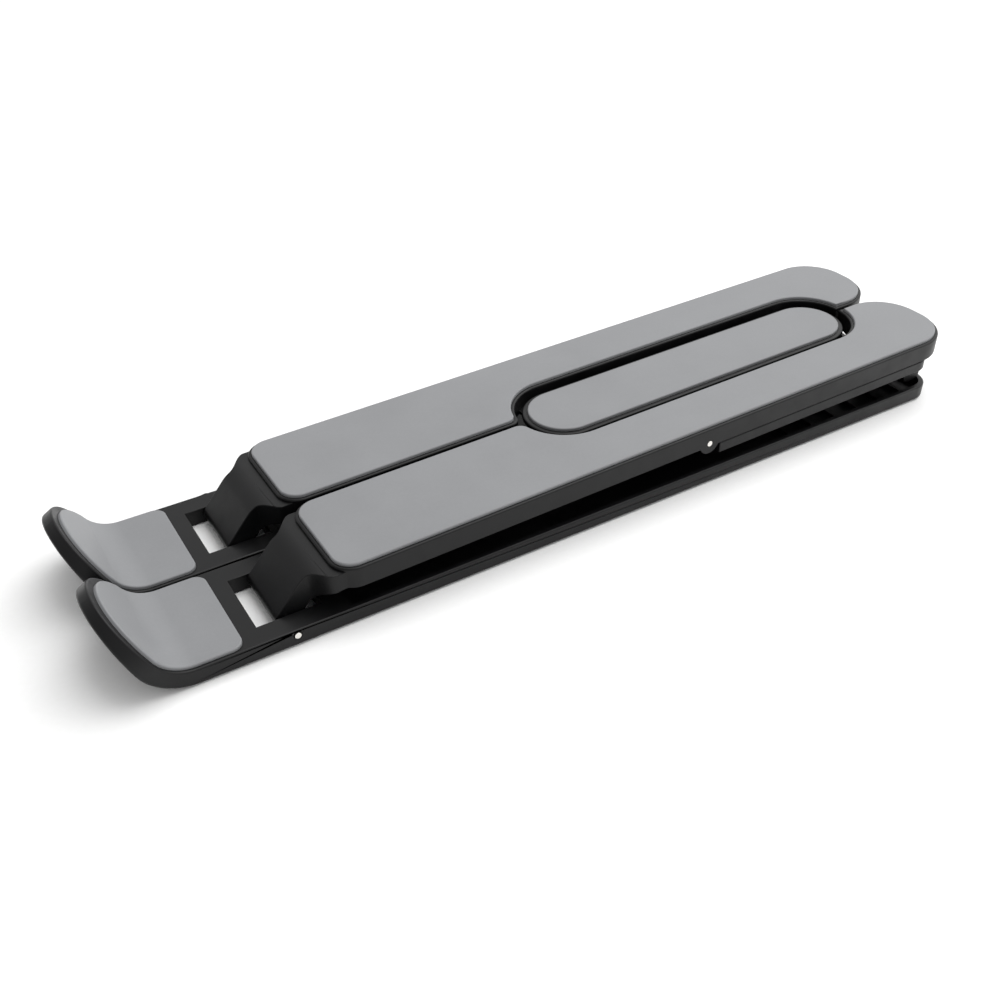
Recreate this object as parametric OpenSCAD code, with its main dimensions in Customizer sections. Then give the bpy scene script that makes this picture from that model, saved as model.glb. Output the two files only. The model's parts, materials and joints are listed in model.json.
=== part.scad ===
// Folding two-legged laptop stand, shown folded flat.
// Two equal halves lie side by side. Each half is a base rail with a padded hook, an arm
// hinged to it, and a strut that swings out of the arm and stands in the rail. A two-link
// elbow joins the arms, so that the halves spread apart and stay level with each other.
// X runs from the hooks (-) to the rear (+), the desk is at z = 0, and the right half is at -Y.

/* [Rails] */
// Width of one base rail
rail_w = 30.2; // [27:0.1:36]
// Height of a rail, underside to rim
rail_h = 4.4; // [4:0.1:7]
// Distance from the hinge axis back to the rail's rear end
rail_back = 205.7; // [190:0.1:240]
// Thickness of the rail's rim walls
rail_wall = 1.6; // [1.2:0.1:2.4]
// Thickness of the rail's channel floor
rail_floor = 1.3; // [1:0.1:1.8]
// Corner radius of the rail's rear end
rail_corner = 6.5; // [4:0.1:9]
// Gap between the two folded rails
rail_gap = 0.4; // [0.3:0.05:1]
// How far behind the hinge axis the solid deck turns into the open channel
deck_back = 14; // [12:0.5:20]
// Number of stop ribs that the strut's foot can stand against
rib_count = 6; // [3:1:8]
// Spacing of the stop ribs
rib_pitch = 9; // [7:0.5:9]
// Thickness of a stop rib
rib_t = 1.4; // [1:0.1:2]
// Height of a stop rib above the channel floor
rib_h = 0.9; // [0.5:0.1:1]
// Distance from the hinge axis to the first stop rib
rib_start = 151; // [145:0.5:153]

/* [Hooks] */
// Distance from the hinge axis forward to the start of the hook's curve
hook_start = 22.6; // [21:0.1:30]
// Inner radius of the hook's curve, measured at the pad's face
hook_r = 8.9; // [7:0.1:12]
// Slope of the lip's inner face
lip_angle = 59; // [50:1:75]
// Slope of the lip's outer face
lip_outer_angle = 64; // [55:1:80]
// Length of the lip's straight face
lip_len = 14; // [10:0.1:20]

/* [Windows] */
// Distance from the hinge axis to the window's front edge
window_front = 7.4; // [6:0.1:9]
// Distance from the hinge axis to the window's rear edge
window_back = 8.6; // [8.5:0.1:11]
// Width of the window that the arm's neck drops through
window_w = 18.5; // [14:0.1:21]

/* [Pads] */
// How far every silicone pad stands proud of its seat's rim
pad_proud = 0.8; // [0.4:0.1:1.2]
// Depth of the shallow seat that each pad is glued into
pad_seat = 0.4; // [0.2:0.05:0.5]
// Width of the black rim left around a pad
pad_rim = 1; // [0.8:0.1:2]
// Side clearance between a pad and its seat
pad_fit = 0.05; // [0.02:0.01:0.15]
// Distance from the hinge axis to the hook pad's rear edge
hook_pad_back = 11.6; // [10:0.1:16]
// Extra width of the black rim beyond the pad at the lip's end
lip_rim = 1.2; // [0:0.1:2.5]
// Corner radius of the hook pad's rear corners
hook_pad_corner = 3; // [2:0.1:5]

/* [Arms] */
// Height of the arm's rim above the hinge axis
arm_top = 11.75; // [11.5:0.05:14]
// Height of the arm's side walls
arm_h = 5.6; // [5:0.1:6.2]
// Thickness of the arm's top plate
arm_plate = 1.7; // [1.4:0.1:1.9]
// Thickness of the arm's side walls
arm_wall = 1.4; // [1.2:0.1:2]
// Distance from the hinge axis to the arm's front edge
arm_front = 11.5; // [11:0.1:14]
// Distance from the hinge axis to the arm's rear end
arm_back = 212; // [207:0.1:245]
// Corner radius of the arm's front corners
arm_corner = 6; // [4:0.1:9]
// Corner radius of the arm's rear corners
arm_rear_corner = 13; // [8:0.1:14]
// Gap between the two folded arms
arm_gap = 1; // [0.6:0.1:2]
// How far the arm's outer side stands inside the rail's outer side
arm_inset = 0.4; // [0:0.1:1]
// Slope of the folded arms, rising to the rear
fold_tilt = 1.2; // [0.8:0.1:1.5]
// Rounding of the arm's inner corners beside the oval recess
cusp_r = 3; // [1.5:0.1:4]

/* [Necks] */
// Slope of the neck between the hinge eye and the arm
neck_angle = 48; // [44:1:52]
// Radius of the hinge eye
eye_r = 2.8; // [2.4:0.05:2.8]
// Bend radius where the neck runs into the arm
neck_bend = 8; // [6:0.5:10]
// Radius of the arch below the neck
neck_arch = 9; // [4:0.5:10]
// Step down from the arm's rim to the neck
neck_step = 0.9; // [0.6:0.1:1.5]
// Side clearance between the neck and the window
neck_fit = 0.5; // [0.4:0.05:1]
// Width of the neck where it meets the arm
neck_top_w = 27; // [22:0.5:29]
// Thickness of the neck's skin and webs
neck_skin = 1.8; // [1.4:0.1:2.2]

/* [Struts] */
// Distance from the hinge axis to the strut pin
strut_pin_x = 118.1; // [112:0.1:124]
// Height of the strut pin below the arm's rim
strut_pin_drop = 4.55; // [4.4:0.05:4.8]
// Radius of the arm's lobe around the strut pin
lobe_r = 3.1; // [2.6:0.1:3.4]
// Radius of the strut's own eye
strut_eye_r = 2.5; // [2:0.1:2.6]
// Distance from the strut pin to the strut's rear end
strut_len = 85.4; // [80:0.1:88]
// Height of the strut's flange, which closes the arm from below
flange_h = 3.1; // [2.6:0.1:3.6]
// Clearance between the strut and the arm
strut_fit = 0.3; // [0.25:0.05:0.6]
// Clearance between the strut's tongue and the arm's top plate
tongue_fit = 0.75; // [0.4:0.05:1.5]
// Depth of the foot, from the strut pin down to its tip
foot_drop = 10; // [8:0.1:10.3]
// Length of the foot along the strut
foot_len = 6.5; // [5:0.1:8]
// Side clearance between the foot and the rail's rim wall
foot_fit = 2.4; // [2:0.1:4]
// Wall of the strut's hollow underside
strut_wall = 1.4; // [1.2:0.1:2]

/* [Links] */
// Distance from the hinge axis to the arms' link pivots
pivot_x = 91.9; // [88:0.1:100]
// Distance between a link's two pivots
link_len = 88.4; // [80:0.1:90]
// Radius of the oval recess in the arms
recess_r = 13.2; // [12:0.1:13.4]
// Gap between the oval link plate and its recess
oval_gap = 2; // [1:0.1:2.6]
// Drop from the arms' rim to the link plate's top
plate_drop = 1.2; // [1:0.1:1.4]
// Thickness of the link plate
plate_t = 1.6; // [1.4:0.1:1.8]
// Width of the link plate's rim around its pad
plate_rim = 1.5; // [1:0.1:2.5]
// Thickness of each arm's pivot tab
tab_t = 1.2; // [1:0.1:1.3]
// Radius of each arm's pivot tab
tab_r = 7; // [5:0.1:8]
// Gap between the stacked tabs and links
stack_gap = 0.25; // [0.2:0.05:0.35]
// Thickness of the hidden lower link
lower_t = 1.4; // [1.2:0.1:1.6]
// Half width of the hidden lower link
lower_r = 6; // [4.5:0.1:6.5]
// Radius of the spacer boss on the elbow
boss_r = 4; // [3:0.1:4.5]

/* [Pins] */
// Radius of the hinge pins and strut pins
pin_r = 0.8; // [0.6:0.05:1.1]
// Radius of the three link pivot pins
link_pin_r = 1.5; // [1.2:0.05:2]
// Radial clearance of a hole that turns on its pin
pin_fit = 0.06; // [0.04:0.01:0.09]
// How far a pin's end stands proud of the outer side
pin_proud = 0.12; // [0.05:0.01:0.3]

/* [Feet] */
// How far the rubber feet lift the rails off the desk
foot_lift = 0.3; // [0.2:0.05:0.8]
// Depth of the pocket that holds each rubber foot
foot_pocket = 0.6; // [0.4:0.05:0.8]
// Length of a rubber foot
rubber_len = 13.5; // [10:0.5:14.5]
// Width of a rubber foot
rubber_w = 12; // [8:0.5:18]
// Distance from the hinge axis to the middle of the front foot
front_foot_x = -15.1; // [-15.2:0.05:-15]
// Distance from the hinge axis to the middle of the rear foot
rear_foot_x = 190; // [180:0.5:194]

/* [Hidden] */
$fn = 96;
big = 600;
// how far a rounding runs past the edges that it joins, so that it meets them cleanly
over = 0.03;

abs_black = "#262626";
silicone_grey = "#9c9c9c";
steel = "#e8e8e8";
rubber_black = "#1c1c1c";

// heights, measured from the desk
rail_top = foot_lift + rail_h;
floor_z = foot_lift + rail_floor;
hinge_z = foot_lift + eye_r + 0.05;
pad_t = pad_seat + pad_proud;

// the hook's curve is centred above its start
hook_cz = rail_top + pad_proud + hook_r;
hook_in = hook_r + pad_proud;
hook_out = hook_cz - foot_lift;
// the lip ends in a round that is a little wider than the rail
lip_r = rail_w / 2 + 0.4;
lip_foot = [-hook_start - hook_in * sin(lip_angle), hook_cz - hook_in * cos(lip_angle)];
lip_tip = lip_foot + lip_len * [-cos(lip_angle), sin(lip_angle)];
// the lip thins towards its end, which is cut square to its inner face
lip_end_t = hook_out - hook_in - lip_len * tan(lip_outer_angle - lip_angle);
outer_tip = lip_tip + lip_end_t * [-sin(lip_angle), -cos(lip_angle)];

// widths, measured from the middle plane between the halves
rail_mid = (rail_gap + rail_w) / 2;
arm_in = arm_gap / 2;
arm_out = rail_gap / 2 + rail_w - arm_inset;
arm_mid = (arm_in + arm_out) / 2;

// the arm's own frame has its origin on the hinge axis
wall_bottom = arm_top - arm_h;
plate_bottom = arm_top - arm_plate;
strut_pin_z = arm_top - strut_pin_drop;
elbow_x = pivot_x + link_len;
// where the neck starts to widen, once its underside has cleared the rail
flare_x = (rail_top + neck_fit - hinge_z + eye_r / cos(neck_angle)) / tan(neck_angle);

// levels of the stacked links, in the arm's own frame
plate_z = arm_top - plate_drop - plate_t;
high_tab_z = plate_z - stack_gap - tab_t;
low_tab_z = high_tab_z - stack_gap - tab_t;
lower_z = low_tab_z - stack_gap - lower_t;
plate_r = recess_r - oval_gap;

// levels of the strut, measured from its own pin
flange_top = wall_bottom - strut_fit / 2 - strut_pin_z;
flange_bottom = flange_top - flange_h;
strut_in = lower_r + 1.5;
foot_in = strut_in + 0.5;
foot_out = rail_gap / 2 + rail_w - rail_wall - foot_fit;

// the whole stand is centred on its length
rear_reach = arm_back * cos(fold_tilt) - wall_bottom * sin(fold_tilt);
hinge_x = (-outer_tip.x - rear_reach) / 2;

// ---- placing -------------------------------------------------------------------------

module at_hinge() translate([hinge_x, 0, hinge_z]) children();
module on_arm() at_hinge() rotate([0, -fold_tilt, 0]) children();
module on_rail() translate([hinge_x, 0, 0]) children();
module left() mirror([0, 1, 0]) children();
// a side profile drawn as [x, z], spread over y0 to y1
module side(y0, y1) translate([0, y1, 0]) rotate([90, 0, 0]) linear_extrude(y1 - y0) children();
module level(z0, z1) translate([0, 0, z0]) linear_extrude(z1 - z0) children();
module rod(r, y0, y1) translate([0, y1, 0]) rotate([90, 0, 0]) cylinder(r = r, h = y1 - y0);

// ---- outlines ------------------------------------------------------------------------

// a rectangle from x0 to x1 and y0 to y1 with round corners
module round_box(x0, x1, y0, y1, r) {
    translate([x0 + r, y0]) square([x1 - x0 - 2 * r, y1 - y0]);
    translate([x0, y0 + r]) square([x1 - x0, y1 - y0 - 2 * r]);
    for (x = [x0 + r, x1 - r], y = [y0 + r, y1 - r]) translate([x, y]) circle(r);
}

module rail_plan(inset) {
    y0 = -rail_mid - rail_w / 2 + inset;
    y1 = -rail_mid + rail_w / 2 - inset;
    r = rail_corner - inset;
    x0 = outer_tip.x - 1;
    x1 = rail_back - inset;
    translate([x0, y0]) square([x1 - r - x0, y1 - y0]);
    translate([x1 - 2 * r, y0 + r]) square([2 * r, y1 - y0 - 2 * r]);
    for (y = [y0 + r, y1 - r]) translate([x1 - r, y]) circle(r);
}

// the round end of the lip and everything below it, seen square on to the lip
module lip_prism(inset, back = 0) translate([lip_foot.x, 0, lip_foot.y]) rotate([0, 180 + lip_angle, 0])
    translate([0, 0, -big / 2]) linear_extrude(big) {
        r = lip_r - inset;
        translate([lip_len - lip_r - back, -rail_mid]) circle(r);
        translate([lip_len - lip_r - back - big, -rail_mid - r]) square([big, 2 * r]);
    }

// points along an arc
function arc(c, r, from, to, steps = 20) =
    [for (i = [0 : steps]) let (a = from + (to - from) * i / steps) c + r * [cos(a), sin(a)]];

// side profile of the hook and a flat behind it, between two radii
module hook_profile(r_in, r_out, in_end, out_end, back) {
    c = [-hook_start, hook_cz];
    polygon(concat([[back, hook_cz - r_out]], arc(c, r_out, 270, 270 - lip_angle), [out_end, in_end],
        arc(c, r_in, 270 - lip_angle, 270), [[back, hook_cz - r_in]]));
}

// a link's outline, from the arms' pivots to the elbow
module link_plan(r) {
    translate([pivot_x, -r]) square([link_len, 2 * r]);
    for (x = [pivot_x, elbow_x]) translate([x, 0]) circle(r);
}

// the waste corner between the arm's inner edge and the front of the recess
module cusp(inset) {
    reach = recess_r + inset - over;
    edge = arm_in + inset - over;
    dx = sqrt(pow(reach + cusp_r, 2) - pow(edge + cusp_r, 2));
    c = [pivot_x - dx, -edge - cusp_r];
    turn = atan2(edge + cusp_r, dx);
    polygon(concat(arc(c, cusp_r, 90, turn, 8), [[pivot_x, 0], [c.x, 0]]));
}

module arm_plan(inset, cusps) {
    y0 = -arm_out + inset;
    y1 = -arm_in - inset;
    end_r = arm_rear_corner - inset;
    end_x = arm_back - arm_rear_corner;
    r = arm_corner - inset;
    x0 = arm_front + inset;
    difference() {
        union() {
            translate([x0 + r, y0]) square([end_x - x0 - r, y1 - y0]);
            translate([x0, y0 + r]) square([2 * r, y1 - y0 - 2 * r]);
            for (y = [y0 + r, y1 - r]) translate([x0 + r, y]) circle(r);
            translate([end_x - end_r, y0 + end_r]) square([2 * end_r, y1 - y0 - 2 * end_r]);
            for (y = [y0 + end_r, y1 - end_r]) translate([end_x, y]) circle(end_r);
        }
        link_plan(recess_r + inset);
        if (cusps) cusp(inset);
    }
}

// ---- rails ---------------------------------------------------------------------------

module rubber_foot(x, fit) level(0, foot_lift + foot_pocket)
    round_box(x - rubber_len / 2 - fit, x + rubber_len / 2 + fit,
        -rail_mid - rubber_w / 2 - fit, -rail_mid + rubber_w / 2 + fit, 2);

module hook_pad_body(fit) {
    up = (lip_len + 5) * [-cos(lip_angle), sin(lip_angle)];
    foot_of = [-sin(lip_angle), -cos(lip_angle)];
    c = [-hook_start, hook_cz];
    side_in = rail_w / 2 - pad_rim + fit;
    intersection() {
        side(-rail_mid - rail_w, 0) hook_profile(hook_r, hook_r + pad_t, c + hook_r * foot_of + up,
            c + (hook_r + pad_t) * foot_of + up, -hook_pad_back + fit);
        level(foot_lift, big) round_box(outer_tip.x - 20, -hook_pad_back + fit,
            -rail_mid - side_in, -rail_mid + side_in, hook_pad_corner);
        lip_prism(pad_rim - fit, lip_rim);
    }
}

module rail_body() on_rail() difference() {
    intersection() {
        side(-rail_mid - rail_w, 0) hook_profile(hook_in, hook_out, lip_tip, outer_tip, rail_back);
        level(foot_lift, big) rail_plan(0);
        lip_prism(0);
    }
    // the open channel, from behind the deck to the rear wall
    difference() {
        level(floor_z, rail_top + 1) rail_plan(rail_wall);
        translate([-big, -big / 2, 0]) cube([big + deck_back, big, big]);
        for (i = [0 : rib_count - 1]) translate([rib_start + i * rib_pitch, -2 * rail_mid, 0])
            cube([rib_t, 2 * rail_mid, floor_z + rib_h]);
    }
    // the window for the neck
    translate([-window_front, -rail_mid - window_w / 2, -1])
        cube([window_front + window_back, window_w, big]);
    translate([0, 0, hinge_z]) rod(pin_r, -rail_mid - rail_w, 0);
    hook_pad_body(pad_fit);
    for (x = [front_foot_x, rear_foot_x]) rubber_foot(x, pad_fit);
}

module hook_pad() on_rail() hook_pad_body(0);
module hinge_pin() at_hinge()
    rod(pin_r, -rail_mid - rail_w / 2 - pin_proud, -rail_mid + rail_w / 2 - 1);

// ---- arms ----------------------------------------------------------------------------

// the neck's side profile: a strip that climbs from the hinge eye and bends level
module neck_profile() {
    a = neck_angle;
    top = arm_top - neck_step;
    run = (top - neck_bend * (1 - cos(a)) - eye_r / cos(a)) / tan(a);
    arch_x = (wall_bottom + eye_r / cos(a)) / tan(a) + neck_arch * tan(a / 2);
    polygon(concat(
        arc([0, 0], eye_r, a + 90, a + 270),
        arc([arch_x, wall_bottom - neck_arch], neck_arch, 90 + a, 90, 12),
        [[arm_front + 4, wall_bottom], [arm_front + 4, top]],
        arc([run + neck_bend * sin(a), top - neck_bend], neck_bend, 90, 90 + a, 12)
    ));
}

module neck_plan() {
    narrow = window_w / 2 - neck_fit;
    wide = neck_top_w / 2;
    bottom = -eye_r - 1;
    // half the outline, with a flare that starts and ends smoothly
    half = concat([[bottom, narrow]],
        [for (i = [0 : 12]) let (t = i / 12)
            [flare_x + (arm_front - flare_x) * t, narrow + (wide - narrow) * (1 - cos(180 * t)) / 2]],
        [[arm_front + 4, wide]]);
    other = [for (i = [len(half) - 1 : -1 : 0]) [half[i].x, -half[i].y]];
    translate([0, -arm_mid]) polygon(concat(half, other));
}

module neck() difference() {
    intersection() {
        side(-arm_out, -arm_in) neck_profile();
        level(-eye_r - 1, arm_top) neck_plan();
    }
    // the arched hollow between the neck's two webs
    half = window_w / 2 - neck_fit - neck_skin;
    side(-arm_mid - half, -arm_mid + half) intersection() {
        rotate(neck_angle) translate([eye_r + 1, -2 * eye_r])
            square([4 * eye_r, 3 * eye_r - neck_skin]);
        translate([0, -big / 2]) square([big, big / 2 + plate_bottom]);
    }
}

// a flat tab that reaches under the oval plate to carry one link pivot
module pivot_tab(z) level(z, z + tab_t) {
    translate([pivot_x, 0]) circle(tab_r);
    translate([pivot_x - tab_r, -recess_r - arm_wall / 2]) square([2 * tab_r, recess_r + arm_wall / 2]);
}

module arm_body(tab_z) on_arm() difference() {
    union() {
        difference() {
            level(wall_bottom, arm_top) arm_plan(0, true);
            level(wall_bottom - 1, plate_bottom) arm_plan(arm_wall, false);
        }
        neck();
        pivot_tab(tab_z);
        // lobes that carry the strut pin in both walls
        for (y = [-arm_out, -recess_r - arm_wall]) translate([strut_pin_x, 0, strut_pin_z])
            rod(lobe_r, y, y + arm_wall);
    }
    level(arm_top - pad_seat, arm_top + 1) arm_plan(pad_rim - pad_fit, true);
    rod(pin_r + pin_fit, -arm_out, -arm_in);
    translate([strut_pin_x, 0, strut_pin_z]) rod(pin_r, -arm_out - 1, 0);
    translate([pivot_x, 0, 0]) cylinder(r = link_pin_r, h = plate_z);
}

module arm_pad() on_arm() level(arm_top - pad_seat, arm_top + pad_proud) arm_plan(pad_rim, true);
module strut_pin() on_arm() translate([strut_pin_x, 0, strut_pin_z])
    rod(pin_r, -arm_out - pin_proud, -recess_r - 0.1);

// ---- struts --------------------------------------------------------------------------

module strut() on_arm() translate([strut_pin_x, 0, strut_pin_z]) {
    tongue_out = -arm_out + arm_wall + strut_fit;
    tongue_in = -recess_r - arm_wall - strut_fit;
    tongue_top = plate_bottom - tongue_fit - strut_pin_z;
    tongue_end = arm_back - (arm_out - arm_in) / 2 - strut_pin_x;
    flange_start = lobe_r + 2 * strut_fit;
    difference() {
        union() {
            rod(strut_eye_r, tongue_out, tongue_in);
            side(tongue_out, tongue_in)
                polygon([[0, tongue_top], [tongue_end, tongue_top], [tongue_end, flange_bottom],
                    [flange_start + 1, flange_bottom], [0, -strut_eye_r]]);
            // the flange, as wide as the arm, with a round outer corner at its end
            level(flange_bottom, flange_top) difference() {
                round_box(flange_start - 20, strut_len, -arm_out, -strut_in, rail_corner - 1);
                translate([flange_start - 40, -big / 2]) square([40, big]);
            }
            // the foot, which stands in the rail's channel
            side(-foot_out, -foot_in) {
                translate([strut_len - foot_len, -foot_drop + 2])
                    square([foot_len, foot_drop - 2 + flange_top]);
                translate([strut_len - foot_len + 2, -foot_drop]) square([foot_len - 4, 3]);
                for (x = [strut_len - foot_len + 2, strut_len - 2])
                    translate([x, -foot_drop + 2]) circle(2);
            }
        }
        rod(pin_r + pin_fit, -arm_out - 1, 0);
        // the hollow underside
        translate([flange_start + 4, tongue_out + strut_wall, flange_bottom - 1])
            cube([tongue_end - flange_start - 4 - strut_wall, tongue_in - tongue_out - 2 * strut_wall,
                tongue_top - strut_wall - flange_bottom + 1]);
    }
}

// ---- links ---------------------------------------------------------------------------

module link_plate() color(abs_black) on_arm() difference() {
    level(plate_z, plate_z + plate_t) link_plan(plate_r);
    level(plate_z + plate_t - pad_seat, arm_top) link_plan(plate_r - plate_rim + pad_fit);
    translate([pivot_x, 0, 0]) cylinder(r = link_pin_r + pin_fit, h = arm_top);
    translate([elbow_x, 0, 0]) cylinder(r = link_pin_r, h = arm_top);
}

module link_pad() color(silicone_grey) on_arm()
    level(plate_z + plate_t - pad_seat, plate_z + plate_t + pad_proud)
        link_plan(plate_r - plate_rim);

module lower_link() color(abs_black) on_arm() difference() {
    union() {
        level(lower_z, lower_z + lower_t) link_plan(lower_r);
        translate([elbow_x, 0, lower_z]) cylinder(r = boss_r, h = plate_z - stack_gap - lower_z);
    }
    translate([pivot_x, 0, lower_z - 1]) cylinder(r = link_pin_r + pin_fit, h = lower_t + 2);
    translate([elbow_x, 0, lower_z - 1]) cylinder(r = link_pin_r + pin_fit, h = arm_top);
}

module link_pin(x, z0, z1) color(steel) on_arm() translate([x, 0, z0])
    cylinder(r = link_pin_r, h = z1 - z0);

// ---- nodes ---------------------------------------------------------------------------

module right_rail() color(abs_black) rail_body();
module left_rail() color(abs_black) left() rail_body();
module right_hook_pad() color(silicone_grey) hook_pad();
module left_hook_pad() color(silicone_grey) left() hook_pad();
module right_front_foot() color(rubber_black) on_rail() rubber_foot(front_foot_x, 0);
module left_front_foot() color(rubber_black) left() on_rail() rubber_foot(front_foot_x, 0);
module right_rear_foot() color(rubber_black) on_rail() rubber_foot(rear_foot_x, 0);
module left_rear_foot() color(rubber_black) left() on_rail() rubber_foot(rear_foot_x, 0);
module right_hinge_pin() color(steel) hinge_pin();
module left_hinge_pin() color(steel) left() hinge_pin();
module right_arm() color(abs_black) arm_body(high_tab_z);
module left_arm() color(abs_black) left() arm_body(low_tab_z);
module right_arm_pad() color(silicone_grey) arm_pad();
module left_arm_pad() color(silicone_grey) left() arm_pad();
module right_strut() color(abs_black) strut();
module left_strut() color(abs_black) left() strut();
module right_strut_pin() color(steel) strut_pin();
module left_strut_pin() color(steel) left() strut_pin();
module right_pivot_pin() link_pin(pivot_x, high_tab_z, plate_z + plate_t - pad_seat);
module left_pivot_pin() link_pin(pivot_x, lower_z, low_tab_z + tab_t);
module elbow_pin() link_pin(elbow_x, lower_z, plate_z + plate_t - pad_seat);

right_rail();
right_hook_pad();
right_front_foot();
right_rear_foot();
right_hinge_pin();
right_arm();
right_arm_pad();
right_strut();
right_strut_pin();
link_plate();
link_pad();
lower_link();
right_pivot_pin();
left_pivot_pin();
elbow_pin();
left_rail();
left_hook_pad();
left_front_foot();
left_rear_foot();
left_hinge_pin();
left_arm();
left_arm_pad();
left_strut();
left_strut_pin();
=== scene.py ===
# %% [markdown]
# # A folding laptop stand
# This lesson dresses a finished CAD model. The stand is two moulded plastic halves with grey
# silicone pads, and it lies folded flat on a table. The model already has the right sizes and
# the right joints, so the work here is what makes plastic look like plastic: rounded edges,
# fine surface texture, and soft light. Every piece sits exactly where its CAD part sits.

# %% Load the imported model
import json
import math

import bmesh
import bpy
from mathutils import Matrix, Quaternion, Vector

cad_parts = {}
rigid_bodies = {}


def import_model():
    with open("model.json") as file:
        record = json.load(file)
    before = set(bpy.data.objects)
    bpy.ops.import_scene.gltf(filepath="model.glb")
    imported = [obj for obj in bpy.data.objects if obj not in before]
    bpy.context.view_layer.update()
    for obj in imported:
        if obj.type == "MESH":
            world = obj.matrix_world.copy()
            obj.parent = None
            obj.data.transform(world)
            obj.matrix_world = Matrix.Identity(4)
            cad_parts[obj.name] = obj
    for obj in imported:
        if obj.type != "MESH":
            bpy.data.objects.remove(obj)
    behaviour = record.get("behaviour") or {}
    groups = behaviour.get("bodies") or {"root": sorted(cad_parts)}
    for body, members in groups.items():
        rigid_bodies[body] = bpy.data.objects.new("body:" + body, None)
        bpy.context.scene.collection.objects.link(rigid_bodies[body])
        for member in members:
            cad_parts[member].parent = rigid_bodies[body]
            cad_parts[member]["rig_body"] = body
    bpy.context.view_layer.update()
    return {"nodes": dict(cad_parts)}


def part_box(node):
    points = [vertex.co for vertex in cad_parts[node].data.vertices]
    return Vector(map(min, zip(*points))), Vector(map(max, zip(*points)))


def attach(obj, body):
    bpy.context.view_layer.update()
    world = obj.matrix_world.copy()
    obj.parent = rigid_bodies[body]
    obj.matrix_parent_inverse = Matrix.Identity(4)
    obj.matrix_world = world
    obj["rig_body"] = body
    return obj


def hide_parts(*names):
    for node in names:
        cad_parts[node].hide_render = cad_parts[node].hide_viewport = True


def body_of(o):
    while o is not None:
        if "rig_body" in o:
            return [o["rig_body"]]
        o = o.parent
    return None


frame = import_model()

MM = 0.001

# %% [markdown]
# ## Colours
# Colours are written the way paint programs show them, as sRGB hex values. A shader works with
# linear light, so one function converts them. Without it every dark colour would look washed out.

# %% One function turns a hex colour into linear light
def linear(hex_colour):
    """'#rrggbb' as the four linear values that a colour socket takes."""
    parts = [int(hex_colour[i:i + 2], 16) / 255 for i in (1, 3, 5)]
    return [v / 12.92 if v <= 0.04045 else ((v + 0.055) / 1.055) ** 2.4 for v in parts] + [1.0]


print("mid grey #808080 is", round(linear("#808080")[0], 3), "in linear light")

# %% [markdown]
# ## Building a material
# A material is a small tree of nodes. Adding a node always takes the same three steps: make it,
# set its options, and fill or link its inputs. One helper does all three, so that each finish
# below reads as a short list. All patterns use Object coordinates, which stay on a piece as it
# moves, and a Mapping node counts them in millimetres, so that a pattern's size is a real size.

# %% A helper that adds one node, and a new material measured in millimetres
def add(tree, kind, inputs=(), **options):
    """Adds a shader node. An input's value is a number, a colour, or a socket to link from."""
    node = tree.nodes.new("ShaderNode" + kind)
    for name, value in options.items():
        setattr(node, name, value)
    for name, value in dict(inputs).items():
        if isinstance(value, bpy.types.NodeSocket):
            tree.links.new(value, node.inputs[name])
        else:
            node.inputs[name].default_value = value
    return node


def new_finish(name, centre=(0, 0, 0)):
    """An empty material, its tree, and a coordinate in millimetres measured from centre."""
    material = bpy.data.materials.new(name)
    material.use_nodes = True
    tree = material.node_tree
    tree.nodes.clear()
    place = add(tree, "TexCoord").outputs["Object"]
    millimetres = add(tree, "Mapping", {
        "Vector": place, "Scale": (1 / MM,) * 3, "Location": [-c / MM for c in centre]})
    return material, tree, millimetres.outputs["Vector"]


def noise(tree, where, grain_mm, detail=2.0, roughness=0.5):
    """Random mottling whose blotches are about grain_mm across, from 0 to 1."""
    return add(tree, "TexNoise", {
        "Vector": where, "Scale": 1 / grain_mm, "Detail": detail,
        "Roughness": roughness}).outputs["Fac"]


def spread(tree, value, low, high, start=0.3, end=0.7):
    """Stretches a pattern's middle range over low to high."""
    return add(tree, "MapRange", {
        "Value": value, "From Min": start, "From Max": end,
        "To Min": low, "To Max": high}).outputs["Result"]


def between(tree, amount, first, second):
    """A colour that runs from first to second."""
    mix = add(tree, "Mix", {"Factor": amount}, data_type="RGBA")
    mix.inputs[6].default_value = linear(first)
    mix.inputs[7].default_value = linear(second)
    return mix.outputs[2]


# %% [markdown]
# ## Moulded ABS
# The rails, arms, struts and links are injection-moulded ABS, coloured black in the mass. The
# steel mould was spark-eroded, which leaves a fine even grain of shallow pits, about a tenth of a
# millimetre across, on every outer face. To the eye that gives a satin black: broad soft
# reflections and no mirror. The grain is drawn at 0.45 mm here, because a finer one would be lost
# between the samples of the picture. ABS has an IOR of about 1.54. The grain's pits trap part of
# the reflection, so its level is set below the usual 0.5, which keeps the black deep.

# %% Black moulded ABS
def moulded_abs():
    material, tree, where = new_finish("Moulded black ABS")
    grain = noise(tree, where, 0.45, detail=3.0, roughness=0.6)
    flow = noise(tree, where, 14.0)
    # gentle waviness, as thin plastic shrinks over its walls and ribs
    sink = add(tree, "Bump", {"Height": noise(tree, where, 30.0, detail=0.0),
                              "Strength": 0.25, "Distance": 0.25 * MM})
    texture = add(tree, "Bump", {"Height": grain, "Strength": 0.35, "Distance": 0.02 * MM,
                                 "Normal": sink.outputs["Normal"]})
    shader = add(tree, "BsdfPrincipled", {
        "Base Color": between(tree, spread(tree, flow, 0, 1), "#070708", "#0c0c0d"),
        "Roughness": spread(tree, noise(tree, where, 5.0, detail=4.0), 0.34, 0.46),
        "IOR": 1.54,
        "Specular IOR Level": 0.24,
        "Normal": texture.outputs["Normal"]})
    add(tree, "OutputMaterial", {"Surface": shader.outputs["BSDF"]})
    return material


abs_black = moulded_abs()
print(abs_black.name, "has", len(abs_black.node_tree.nodes), "nodes")

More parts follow.
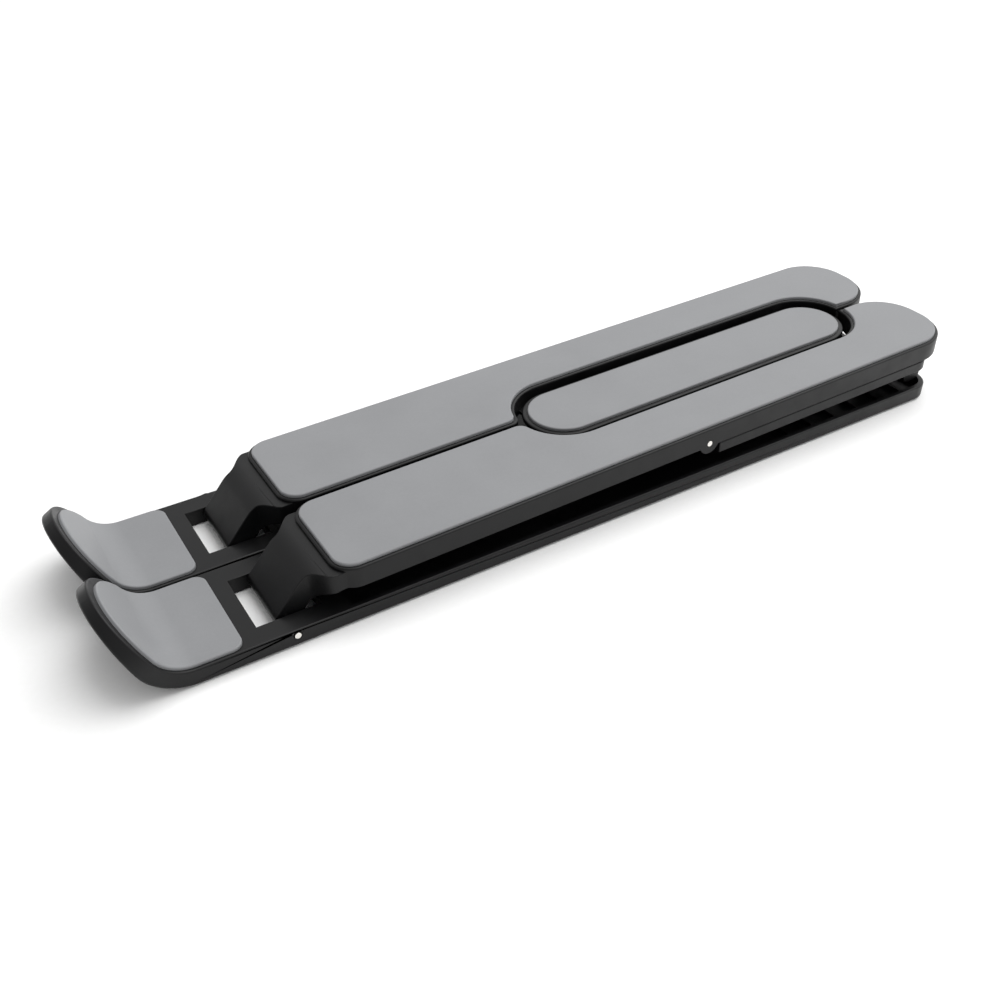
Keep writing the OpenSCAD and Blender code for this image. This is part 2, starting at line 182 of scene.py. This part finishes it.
# %% [markdown]
# ## Silicone
# The pads are compression-moulded silicone rubber, about 1.2 mm thick, glued into shallow seats.
# Silicone is matt and a little dusty, so its reflections are wide and weak, and it greys out
# towards grazing angles. Its mould was sand-blasted: the pebbling is about 0.2 mm, drawn at
# 0.5 mm so that it shows. Faint cloudy patches come from handling. Silicone's IOR is about 1.41.

# %% Grey moulded silicone
def moulded_silicone():
    material, tree, where = new_finish("Grey moulded silicone")
    pebble = noise(tree, where, 0.5, detail=2.0, roughness=0.6)
    cloud = noise(tree, where, 18.0, detail=3.0)
    speckle = noise(tree, where, 0.8, detail=4.0, roughness=0.7)
    tone = add(tree, "Math", {0: spread(tree, cloud, 0, 0.7), 1: spread(tree, speckle, 0, 0.3)},
               operation="ADD")
    texture = add(tree, "Bump", {"Height": pebble, "Strength": 0.3, "Distance": 0.03 * MM})
    shader = add(tree, "BsdfPrincipled", {
        "Base Color": between(tree, tone.outputs["Value"], "#7b7c7e", "#838486"),
        "Roughness": spread(tree, cloud, 0.50, 0.60),
        "IOR": 1.41,
        "Sheen Weight": 0.08,
        "Sheen Roughness": 0.5,
        "Normal": texture.outputs["Normal"]})
    add(tree, "OutputMaterial", {"Surface": shader.outputs["BSDF"]})
    return material


silicone_grey = moulded_silicone()
print(silicone_grey.name, "has", len(silicone_grey.node_tree.nodes), "nodes")

# %% [markdown]
# ## Nickel-plated steel
# The pins are cut from steel wire, turned flat at the ends and nickel plated, which gives a warm
# bright grey. Turning leaves rings round the pin's axis, 0.1 mm apart, so each pin's finish is
# centred on its own axis, found from the CAD part's box. A metal keeps the shader's default IOR.

# %% Nickel-plated turned steel
def turned_nickel(name, pin, axis):
    low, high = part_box(pin)
    material, tree, where = new_finish(name, centre=(low + high) / 2)
    rings = add(tree, "TexWave", {"Vector": where, "Scale": 3.1, "Distortion": 0.3},
                wave_type="RINGS", rings_direction=axis).outputs["Fac"]
    stain = noise(tree, where, 0.9, detail=3.0)
    texture = add(tree, "Bump", {"Height": rings, "Strength": 0.15, "Distance": 0.01 * MM})
    shader = add(tree, "BsdfPrincipled", {
        "Base Color": between(tree, stain, "#e3e0da", "#f1efea"),
        "Metallic": 1.0,
        "Roughness": spread(tree, stain, 0.22, 0.36),
        "Normal": texture.outputs["Normal"]})
    add(tree, "OutputMaterial", {"Surface": shader.outputs["BSDF"]})
    return material


hinge_nickel = turned_nickel("Nickel-plated steel, hinge pins", "right_hinge_pin", "Y")
strut_nickel = turned_nickel("Nickel-plated steel, strut pins", "right_strut_pin", "Y")
pivot_nickel = turned_nickel("Nickel-plated steel, pivot pins", "right_pivot_pin", "Z")
elbow_nickel = turned_nickel("Nickel-plated steel, elbow pin", "elbow_pin", "Z")
print("four pin finishes, each centred on its own axis")

# %% [markdown]
# ## Black rubber
# The feet under the rails are moulded natural rubber. It is duller and rougher than the ABS
# beside it, with almost no reflection, and it picks up pale dust. Its IOR is about 1.52.

# %% Black moulded rubber
def moulded_rubber():
    material, tree, where = new_finish("Black moulded rubber")
    pebble = noise(tree, where, 0.6, detail=3.0, roughness=0.7)
    dust = noise(tree, where, 3.0, detail=4.0)
    texture = add(tree, "Bump", {"Height": pebble, "Strength": 0.5, "Distance": 0.05 * MM})
    shader = add(tree, "BsdfPrincipled", {
        "Base Color": between(tree, spread(tree, dust, 0, 1, 0.45, 0.8), "#131313", "#2b2a28"),
        "Roughness": spread(tree, dust, 0.7, 0.9),
        "IOR": 1.52,
        "Normal": texture.outputs["Normal"]})
    add(tree, "OutputMaterial", {"Surface": shader.outputs["BSDF"]})
    return material


rubber_black = moulded_rubber()
print(rubber_black.name, "has", len(rubber_black.node_tree.nodes), "nodes")

# %% [markdown]
# ## Rounding the edges
# No moulded part has a knife edge: the mould's corners are rounded so that the plastic flows and
# lets go. Those small rounds catch a thin line of light along every rim, and that line is most of
# what makes a black part readable. The CAD parts have sharp edges, so each one is copied, its
# loose triangles are merged and joined back into whole faces, and a Bevel modifier rounds the
# edges. Each edge gets a bevel weight, so that an outer rim and a small inner lip can have
# different radii in one pass, which also keeps the corners where they meet clean. A face with a
# hole in it would keep a stray edge from the hole to its rim, at any slant, and the rounding would
# slide along that edge. So a part with holes is first cut by a few planes through them: the face
# falls into halves with no hole, and the only edges left across it lie in those planes.

# %% A helper that copies a CAD part and rounds its edges
SHARP = math.radians(35)
FLAT = math.radians(0.4)
WELD = 0.002 * MM


def middle_mm(edge):
    """The middle of an edge, in millimetres."""
    return (edge.verts[0].co + edge.verts[1].co) / 2 / MM


def axis_mm(part):
    """The middle of a part's box, in millimetres. For a pin it is a point on the axis."""
    return sum(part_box(part), Vector()) / 2 / MM


def is_sharp(edge, angle):
    return len(edge.link_faces) == 2 and angle > SHARP


def rounded(part, piece_name, radius_of, material, segments=3, cuts=()):
    """A merged copy of a CAD part. radius_of(edge) gives a convex edge's radius in millimetres.
    cuts are planes, as (point in millimetres, normal), that part a face through its holes."""
    form = bmesh.new()
    form.from_mesh(frame["nodes"][part].data)
    bmesh.ops.remove_doubles(form, verts=form.verts, dist=WELD)
    for point, normal in cuts:
        cut = bmesh.ops.bisect_plane(form, geom=form.verts[:] + form.edges[:] + form.faces[:],
                                     dist=WELD / 2, plane_co=Vector(point) * MM, plane_no=normal)
        for item in cut["geom_cut"]:
            if isinstance(item, bmesh.types.BMEdge):
                item.seam = True
    bmesh.ops.dissolve_limit(form, angle_limit=FLAT, use_dissolve_boundaries=False,
                             verts=form.verts, edges=form.edges, delimit={"SEAM"})
    weight = form.edges.layers.float.new("bevel_weight_edge")
    chosen = {}
    for edge in form.edges:
        if is_sharp(edge, edge.calc_face_angle_signed(0)):
            radius = radius_of(edge)
            if radius > 0:
                chosen[edge] = radius
    widest = max(chosen.values())
    for edge, radius in chosen.items():
        edge[weight] = radius / widest
    for face in form.faces:
        face.smooth = True
    for edge in form.edges:
        edge.smooth = edge in chosen or not is_sharp(edge, abs(edge.calc_face_angle_signed(0)))
    for layer in list(form.loops.layers.uv):
        form.loops.layers.uv.remove(layer)
    mesh = bpy.data.meshes.new(piece_name)
    form.to_mesh(mesh)
    form.free()
    for extra in [a.name for a in mesh.attributes if a.name == "custom_normal"]:
        mesh.attributes.remove(mesh.attributes[extra])
    mesh.materials.append(material)
    piece = bpy.data.objects.new(piece_name, mesh)
    bpy.context.scene.collection.objects.link(piece)
    bevel = piece.modifiers.new("Rounded edges", "BEVEL")
    bevel.limit_method = "WEIGHT"
    bevel.width = widest * MM
    bevel.segments = segments
    bevel.profile = 0.5
    bevel.use_clamp_overlap = False
    bevel.loop_slide = True
    bevel.harden_normals = True
    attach(piece, body_of(frame["nodes"][part])[0])
    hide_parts(part)
    return piece, len(chosen)


print("edges that turn more than", round(math.degrees(SHARP)), "degrees can be rounded")

# %% [markdown]
# ## The base rails
# Each rail is one moulding: a shallow open channel, a solid deck at the front with a window for
# the neck, and the hook that curls up to hold the laptop's front edge. Its rim has a round of
# 0.5 mm, and its underside, where a hand and a bag rub on it, has one of 0.7 mm. The small
# step round the pad's seat stays nearly sharp. An edge belongs to the outside if one of its faces
# is on the rail's side, its round rear end, or the end of the lip.

# %% Right and left rail
LIP_DIRECTION = Vector((-math.cos(math.radians(59)), 0, math.sin(math.radians(59))))
REAR_CORNER = 7
LIP_HEIGHT = 9
WINDOW_AHEAD, WINDOW_BEHIND = 8, 10
hinge = axis_mm("right_hinge_pin")


def from_axis(place, axis):
    """Distance in millimetres from a cross pin's axis, seen from the side."""
    return math.hypot(place.x - axis.x, place.z - axis.z)


def rail_radius(part):
    """The window and the foot pocket are told apart by their distance from the hinge."""
    low, high = (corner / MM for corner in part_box(part))

    def is_outer(face):
        centre, normal = face.calc_center_median() / MM, face.normal
        on_side = min(abs(centre.y - low.y), abs(centre.y - high.y)) < 0.1 and abs(normal.y) > 0.8
        on_rear = centre.x > high.x - REAR_CORNER and normal.x > 0.02 and abs(normal.z) < 0.2
        on_lip_end = centre.z > LIP_HEIGHT and normal.dot(LIP_DIRECTION) > 0.15
        return on_side or on_rear or on_lip_end

    def radius_of(edge):
        outer = [is_outer(face) for face in edge.link_faces]
        if all(outer):
            return 0.0
        if any(outer):
            other = edge.link_faces[outer.index(False)]
            return 0.5 if other.normal.z > 0 else 0.7
        at = middle_mm(edge)
        in_window = -WINDOW_AHEAD < at.x - hinge.x < WINDOW_BEHIND
        in_foot_pocket = at.z < low.z + 0.7 and not in_window
        in_pin_hole = from_axis(at, hinge) < 1
        return 0.0 if in_foot_pocket or in_pin_hole else 0.12

    return radius_of


for side in ("right", "left"):
    part = side + "_rail"
    piece, count = rounded(part, side + "_rail_moulding", rail_radius(part), abs_black,
                           cuts=((axis_mm(part), (0, 1, 0)), (hinge, (1, 0, 0))))
    print(piece.name, "has", count, "rounded edges")

# %% [markdown]
# ## The arms
# An arm is a thin tray turned upside down, with a neck that reaches down to the hinge and a tab
# that carries one pivot of the elbow. It has the same 0.5 mm round along its outer rim, and the
# bottom edges of its walls have a small one. The tab and the neck are thin, so theirs are small.

# %% Right and left arm
TILT = math.radians(1.2)
ARM_UP = Vector((-math.sin(TILT), 0, math.cos(TILT)))
ARM_ALONG = Vector((math.cos(TILT), 0, math.sin(TILT)))
ARM_RIM = 11.75
strut_axis = axis_mm("right_strut_pin")
pivot_axis = axis_mm("right_pivot_pin")


def above_hinge(place):
    """Height above the hinge axis, square to the arm, of a place in millimetres."""
    return (place - Vector((hinge.x, 0, hinge.z))).dot(ARM_UP)


def arm_radius(edge):
    """A short wall at the rim is the pad's seat, and a tall one is the arm's outside."""
    at = middle_mm(edge)
    walls = [face for face in edge.link_faces if abs(face.normal.dot(ARM_UP)) < 0.9]
    if abs(above_hinge(at) - ARM_RIM) < 0.05 and len(walls) == 1:
        is_seat = min(above_hinge(v.co / MM) for v in walls[0].verts) > ARM_RIM - 0.5
        return 0.1 if is_seat else 0.5
    in_pin_hole = min(from_axis(at, hinge), from_axis(at, strut_axis)) < 1.2
    return 0.0 if in_pin_hole else 0.2


for side in ("right", "left"):
    part = side + "_arm"
    through_neck = (axis_mm(side + "_hinge_pin"), (0, 1, 0))
    through_tab = (pivot_axis, (0, 1, 0))
    piece, count = rounded(part, side + "_arm_moulding", arm_radius, abs_black,
                           cuts=(through_neck, through_tab, (hinge, (1, 0, 0)),
                                 (strut_axis, ARM_ALONG), (pivot_axis, ARM_ALONG)))
    print(piece.name, "has", count, "rounded edges")

# %% [markdown]
# ## Struts and links
# A strut is a long leg that lies in the arm and swings out below it, so its flange shows as a
# thin dark strip under the arm's wall. The links are flat plates. All three are small mouldings
# with the same small rounds everywhere.

# %% Struts and links
def even_radius(radius):
    return lambda edge: radius


STRUT_LEG_Y = 21.6
for part, radius, leg_y in (("right_strut", 0.3, -STRUT_LEG_Y), ("left_strut", 0.3, STRUT_LEG_Y),
                            ("lower_link", 0.25, 0)):
    piece, count = rounded(part, part + "_moulding", even_radius(radius), abs_black, 2,
                           cuts=(((0, leg_y, 0), (0, 1, 0)), (strut_axis, ARM_ALONG)))
    print(piece.name, "has", count, "rounded edges")


def plate_radius(edge):
    """A larger round along the plate's outer edges than beside its pad."""
    tall = [face for face in edge.link_faces if abs(face.normal.dot(ARM_UP)) < 0.5]
    heights = [v.co.dot(ARM_UP) / MM for face in tall for v in face.verts]
    return 0.5 if heights and max(heights) - min(heights) > 1 else 0.1


piece, count = rounded("link_plate", "link_plate_moulding", plate_radius, abs_black,
                       cuts=((pivot_axis, (0, 1, 0)),))
print(piece.name, "has", count, "rounded edges")

# %% [markdown]
# ## The silicone pads
# A silicone pad stands 0.8 mm proud of the plastic, and its upper edge is rounded over half that
# height. The round shows as a thin pale line against the black rim. The lower edge is hidden in
# the seat, so only edges that bound an upper face are rounded.

# %% The five pads
def upper_edges(radius):
    def radius_of(edge):
        return radius if any(face.normal.z > 0.4 for face in edge.link_faces) else 0.0
    return radius_of


for part in ("right_hook_pad", "left_hook_pad", "right_arm_pad", "left_arm_pad", "link_pad"):
    piece, count = rounded(part, part + "_moulding", upper_edges(0.4), silicone_grey)
    print(piece.name, "has", count, "rounded edges")

# %% [markdown]
# ## Pins and feet
# The pins' ends are chamfered by a lathe, and the rubber feet have a soft lower edge. These are
# tiny, but each pin's end is the brightest spot on the stand, so its edge matters. A link pin's
# top is 0.02 mm below the pad that covers it, so that the pad can turn over it without touching.

# %% Pins and rubber feet
PAD_GAP = 0.02 * MM


def turned_pin(part, nickel):
    return rounded(part, part + "_turned", even_radius(0.1), nickel, 2)[0]


def lower_top(pin):
    """Moves the flat top of a pin down by PAD_GAP. Its bottom stays."""
    top = max(v.co.dot(ARM_UP) for v in pin.data.vertices)
    for v in pin.data.vertices:
        if v.co.dot(ARM_UP) > top - 0.05 * MM:
            v.co -= PAD_GAP * ARM_UP


for side in ("right", "left"):
    turned_pin(side + "_hinge_pin", hinge_nickel)
    turned_pin(side + "_strut_pin", strut_nickel)
    lower_top(turned_pin(side + "_pivot_pin", pivot_nickel))
lower_top(turned_pin("elbow_pin", elbow_nickel))


def lower_edges(edge):
    """Only the foot's bottom edge, because its top is glued into the pocket."""
    return 0.2 if any(face.normal.z < -0.9 for face in edge.link_faces) else 0.0


for side in ("right", "left"):
    for end in ("front", "rear"):
        part = side + "_" + end + "_foot"
        rounded(part, part + "_moulded", lower_edges, rubber_black, 2)

# %% [markdown]
# ## Table and light
# The stand lies on plain white card under soft studio light. A white surround gives the black
# plastic its faint grey sheen. It is darker on the hook side, so that the hooks and necks stay
# deep black there. One large soft lamp above the rear end draws the thin bright lines along the
# rims and makes the pads a little paler towards the rear.

# %% White card, white surround and one soft lamp
def white_card():
    material, tree, where = new_finish("White card")
    fibre = noise(tree, where, 1.5, detail=4.0)
    texture = add(tree, "Bump", {"Height": fibre, "Strength": 0.1, "Distance": 0.02 * MM})
    shader = add(tree, "BsdfPrincipled", {
        "Base Color": between(tree, fibre, "#f4f4f3", "#f8f8f8"),
        "Roughness": 0.9,
        "Normal": texture.outputs["Normal"]})
    add(tree, "OutputMaterial", {"Surface": shader.outputs["BSDF"]})
    return material


form = bmesh.new()
bmesh.ops.create_grid(form, x_segments=1, y_segments=1, size=3.0)
card_mesh = bpy.data.meshes.new("table_card")
form.to_mesh(card_mesh)
form.free()
card_mesh.materials.append(white_card())
card = bpy.data.objects.new("table_card", card_mesh)
bpy.context.scene.collection.objects.link(card)

world = bpy.data.worlds.new("White surround")
world.use_nodes = True
surround = world.node_tree
surround.nodes.clear()
direction = add(surround, "TexCoord").outputs["Generated"]
towards_rear = add(surround, "SeparateXYZ", {"Vector": direction}).outputs["X"]
brightness = spread(surround, towards_rear, 0.35, 1.35, -1.0, 1.0)
white = add(surround, "Background", {"Color": (1, 1, 1, 1), "Strength": brightness})
add(surround, "OutputWorld", {"Surface": white.outputs["Background"]})
bpy.context.scene.world = world


def soft_lamp(name, place, aim, size, watts):
    lamp = bpy.data.lights.new(name, "AREA")
    lamp.shape = "SQUARE"
    lamp.size = size
    lamp.energy = watts
    holder = bpy.data.objects.new(name, lamp)
    holder.location = place
    holder.rotation_mode = "QUATERNION"
    holder.rotation_quaternion = (Vector(aim) - Vector(place)).to_track_quat("-Z", "Y")
    bpy.context.scene.collection.objects.link(holder)
    return holder


soft_lamp("overhead_softbox", (0.35, 0.05, 0.8), (0.05, 0, 0), 0.9, 6.0)
bpy.context.scene.view_settings.view_transform = "Standard"
print("one lamp and a white surround")

# %% [markdown]
# ## The camera
# The view is from the hook end, to the right of the stand and well above it, close enough for the
# rear end to look smaller. A camera is placed by its position and its line of sight, and then
# turned by a fraction of a degree about that line.

# %% Camera
camera_data = bpy.data.cameras.new("camera")
camera_data.sensor_width = 36.0
camera_data.lens = 39.505
camera_data.clip_start = 0.01
camera = bpy.data.objects.new("camera", camera_data)
camera.location = (-0.140028, -0.206577, 0.173248)
line_of_sight = Vector((0.418136, 0.685579, -0.595939))
tilt_of_horizon = Quaternion((0, 0, 1), math.radians(-0.288))
camera.rotation_mode = "QUATERNION"
camera.rotation_quaternion = line_of_sight.to_track_quat("-Z", "Y") @ tilt_of_horizon
bpy.context.scene.collection.objects.link(camera)
bpy.context.scene.camera = camera
print("camera is", round(camera.location.length, 3), "m from the middle of the stand")
